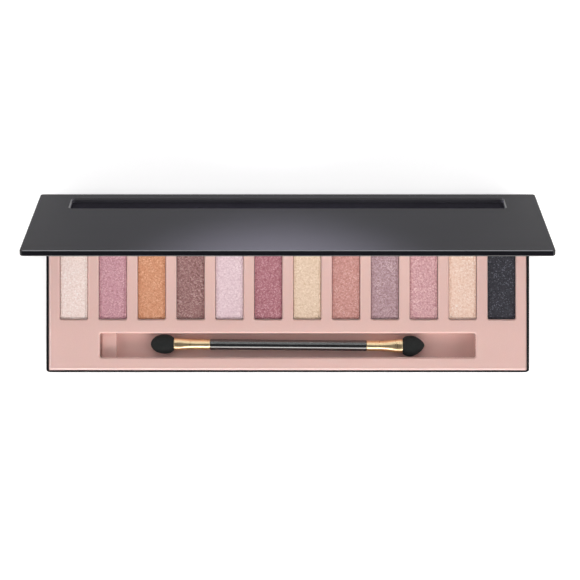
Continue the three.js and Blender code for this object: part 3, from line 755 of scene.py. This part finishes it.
def makeFerrule(side):
    values = ferruleValues
    place = endPlaces[side]
    low, high = localBox("ferrule_" + side, place)
    data = [place.inverted() @ vertex.co for vertex in nodes["ferrule_" + side].data.vertices]
    radius = max(point.z for point in data if point.x < low.x + endFace)
    neck = max(point.y for point in data if point.x > high.x - endFace)
    thin = max(point.z for point in data if point.x > high.x - endFace)
    length = high.x - low.x
    outside = []
    for row in range(values["rows"] + 1):
        x = low.x + length * row / values["rows"]
        fromEnd = min(x - low.x, high.x - x)
        lip = values["lip"] * (1 - smooth(fromEnd / values["lipLength"]))
        bead = sum(math.exp(-((x - low.x - at) / values["beadSize"]) ** 2) for at in values["beads"])
        outside.append((x, radius - lip + values["bead"] * bead))
    inside = [(high.x, radius - values["wall"]), (high.x - length / 2, radius - values["wall"]),
              (low.x + values["round"], radius - values["wall"]), (low.x, radius - values["wall"])]
    bm = spinBar(outside + inside, values["steps"], closed=True)
    for vertex in bm.verts:
        point = vertex.co
        amount = smooth((point.x - low.x - values["round"]) / (length - values["round"]))
        point.y *= 1 + (neck / radius - 1) * amount
        point.z *= 1 + (thin / radius - 1) * amount
        away = Vector((point.x - high.x + values["crimpBack"], point.y)).length / values["crimpSize"]
        point.z -= math.copysign(values["crimp"] * math.exp(-away ** 2), point.z)
    makePiece(bm, "ferrule" + side.title(), "applicator", [finishes["goldAnodisedAluminium"]],
              ["ferrule_" + side], place)


# Sponge tips: a moulded foam pad with squared shoulders at the ferrule and a blunt tip.
spongeValues = {
    "left": {"run": 3.7 * mm, "taper": 0.7, "blunt": 0.62, "neck": 2.4 * mm, "lean": 0.0},
    "right": {"run": 3.2 * mm, "taper": 0.58, "blunt": 0.4, "neck": 3.0 * mm, "lean": 0.3 * mm},
}
# curl and pull shape the shoulder's curve, and puff is its power, its share at the root and its growth
foamValues = {"squareness": 2.5, "curl": (0.12, 0.45), "pull": 0.62, "puff": (0.8, 0.86, 0.14), "root": 5,
              "lump": 0.07 * mm, "lumpSize": 1.6 * mm, "pore": 0.04 * mm, "poreSize": 0.45 * mm,
              "steps": 110, "shoulderSteps": 16, "flankSteps": 44, "fill": 0.8}


def makeSponge(side):
    values = spongeValues[side]
    place = endPlaces[side]
    low, high = localBox("sponge_" + side, place)
    width = (high.y - low.y) / 2
    thick = (high.z - low.z) / 2
    length = high.x - low.x
    neck = values["neck"]
    full = low.x + values["run"]
    taper = low.x + values["taper"] * length
    curlAlong, curlOut = foamValues["curl"]
    curl = Vector((low.x + values["run"] * curlAlong, neck + (width - neck) * curlOut))
    pull = Vector((full - values["run"] * foamValues["pull"], width))
    shoulder = interpolate_bezier(Vector((low.x, neck)), curl, pull, Vector((full, width)),
                                  foamValues["shoulderSteps"])
    flank = interpolate_bezier(Vector((full, width)), Vector((taper, width)),
                               Vector((high.x, width * values["blunt"])), Vector((high.x, 0)),
                               foamValues["flankSteps"])
    profile = [(low.x, 0), (low.x, neck * 0.5)] + [(p.x, p.y) for p in shoulder + flank[1:]]
    bm = spinBar(profile, foamValues["steps"])
    power = 2 / foamValues["squareness"]
    puffPower, puffRoot, puffGrowth = foamValues["puff"]
    for vertex in bm.verts:
        point = vertex.co
        radius = math.hypot(point.y, point.z)
        if radius > tiny:
            across = math.copysign(abs(point.y / radius) ** power, point.y)
            up = math.copysign(abs(point.z / radius) ** power, point.z)
            along = (point.x - low.x) / length
            growth = puffGrowth * smooth(along * foamValues["root"])
            puff = min(1, radius / width) ** puffPower * (puffRoot + growth)
            point.y = radius * across
            point.z = thick * puff * up
            point.y += values["lean"] * along ** 2
        away = point.normalized()
        lump = noise.noise(point / foamValues["lumpSize"] + Vector((0, 0, 3.1)))
        pore = abs(noise.noise(point / foamValues["poreSize"]))
        inward = 0.5 + 0.5 * lump
        shift = foamValues["lump"] * inward + foamValues["pore"] * (1 - pore)
        point -= Vector((0, away.y, away.z)) * shift
        if point.x > full:
            point.x -= shift * (point.x - full) / (high.x - full)
    piece = makePiece(bm, "sponge" + side.title(), "applicator", [finishes["foam"]],
                      ["sponge_" + side], place, sharp=80)


def dressNode(name, material):
    # a CAD node whose shape is right keeps it and takes a finished material
    data = nodes[name].data
    data.materials.clear()
    data.materials.append(material)


makeHandle()
for side in sides:
    makeFerrule(side)
    makeSponge(side)
    dressNode("sponge_core_" + side, finishes["nylon"])
print("applicator made")


# Floor: a matt white acrylic light table, faintly lit from below, with a barely visible grain.
floorValues = {"size": 6.0, "color": "#f6f5f4", "grain": "#f1f0ef", "grainSize": 3 * mm, "glow": 0.45}


def makeFloor():
    material, tree, shader, place = newMaterial("backlitWhiteAcrylic", **{
        "IOR": 1.45, "Specular IOR Level": 0.2, "Emission Color": linear("#ffffff"),
        "Emission Strength": floorValues["glow"]})
    grain = addNode(tree, "ShaderNodeTexNoise", {"Vector": place, "Scale": 1 / floorValues["grainSize"],
                                                 "Detail": 3.0})
    tone = addNode(tree, "ShaderNodeMix", {"Factor": grain.outputs["Fac"], "A": linear(floorValues["grain"]),
                                           "B": linear(floorValues["color"])}, data_type="RGBA")
    rough = addNode(tree, "ShaderNodeMapRange", {"Value": grain.outputs["Fac"], "To Min": 0.8,
                                                 "To Max": 0.95})
    dressSurface(tree, shader, tone.outputs["Result"], rough.outputs["Result"])
    bm = bmesh.new()
    bmesh.ops.create_grid(bm, x_segments=1, y_segments=1, size=floorValues["size"] / 2)
    mesh = bpy.data.meshes.new("floor")
    bm.to_mesh(mesh)
    bm.free()
    mesh.materials.append(material)
    floor = bpy.data.objects.new("floor", mesh)
    bpy.context.scene.collection.objects.link(floor)


# Studio: each softbox's place, the point it is aimed at, its size, its watts and its tint.
studio = {
    "front": ((0.1, -0.77, 0.56), (0, 0, 0), (1.6, 0.32), 8.0, "#fffaf6"),
    "right": ((0.8, -0.15, 0.5), (0, 0, 0), (0.3, 0.35), 1.2, "#ffffff"),
    "left": ((-0.8, -0.15, 0.5), (0, 0, 0), (0.3, 0.35), 0.9, "#ffffff"),
    "top": ((0.0, 0.4, 0.95), (0, 0, 0), (1.2, 0.08), 1.0, "#ffffff"),
    "rear": ((0.0, 0.61, 0.56), (0, 0, 0.07), (0.6, 0.05), 0.78, "#fbfbff"),
}
# A strong spot makes a pool of light on the floor behind the lid, which the lid's dim face mirrors.
pool = {"place": (0.0, 0.25, 0.7), "aim": (-0.004, 0.15, 0.0), "power": 210, "cone": 16, "radius": 0.005,
        "tint": "#e9e4ff"}
# The softboxes stand in a light tent: bright round the sides, and dark above, where the camera looks in.
tent = {"color": "#f8f8fa", "sides": 1.25, "roof": 0.1, "roofFrom": 0.58, "roofTo": 0.72}


def aimLamp(lamp, name, place, aim):
    holder = bpy.data.objects.new(name, lamp)
    holder.location = place
    holder.rotation_euler = (Vector(aim) - Vector(place)).to_track_quat("-Z", "Y").to_euler()
    holder.visible_camera = False
    bpy.context.scene.collection.objects.link(holder)


def makeStudio():
    for name, (place, aim, size, power, tint) in studio.items():
        lamp = bpy.data.lights.new(name, "AREA")
        lamp.shape = "RECTANGLE"
        lamp.size, lamp.size_y = size
        lamp.energy = power
        lamp.color = linear(tint)[:3]
        aimLamp(lamp, name, place, aim)
    lamp = bpy.data.lights.new("pool", "SPOT")
    lamp.spot_size = math.radians(pool["cone"])
    lamp.spot_blend = 1.0
    lamp.shadow_soft_size = pool["radius"]
    lamp.energy = pool["power"]
    lamp.color = linear(pool["tint"])[:3]
    aimLamp(lamp, "pool", pool["place"], pool["aim"])
    world = bpy.data.worlds.new("studio")
    world.use_nodes = True
    tree = world.node_tree
    direction = addNode(tree, "ShaderNodeTexCoord").outputs["Generated"]
    height = addNode(tree, "ShaderNodeSeparateXYZ", {"Vector": direction}).outputs["Z"]
    glow = addNode(tree, "ShaderNodeMapRange", {"Value": height, "From Min": tent["roofFrom"],
                                                "From Max": tent["roofTo"], "To Min": tent["sides"],
                                                "To Max": tent["roof"]}, interpolation_type="SMOOTHSTEP")
    background = tree.nodes["Background"]
    background.inputs["Color"].default_value = linear(tent["color"])
    tree.links.new(glow.outputs["Result"], background.inputs["Strength"])
    bpy.context.scene.world = world
    bpy.context.scene.view_settings.view_transform = "Standard"


# Camera: straight above the palette, a little towards its front.
cameraValues = {"x": 0.9 * mm, "y": -0.89 * mm, "aboveRim": 794 * mm, "lens": 125.3, "sensor": 36}


def makeCamera():
    data = bpy.data.cameras.new("camera")
    data.lens = cameraValues["lens"]
    data.sensor_width = cameraValues["sensor"]
    camera = bpy.data.objects.new("camera", data)
    camera.location = (cameraValues["x"], cameraValues["y"], rimTop + cameraValues["aboveRim"])
    bpy.context.scene.collection.objects.link(camera)
    bpy.context.scene.camera = camera


makeFloor()
makeStudio()
makeCamera()
print("studio made")
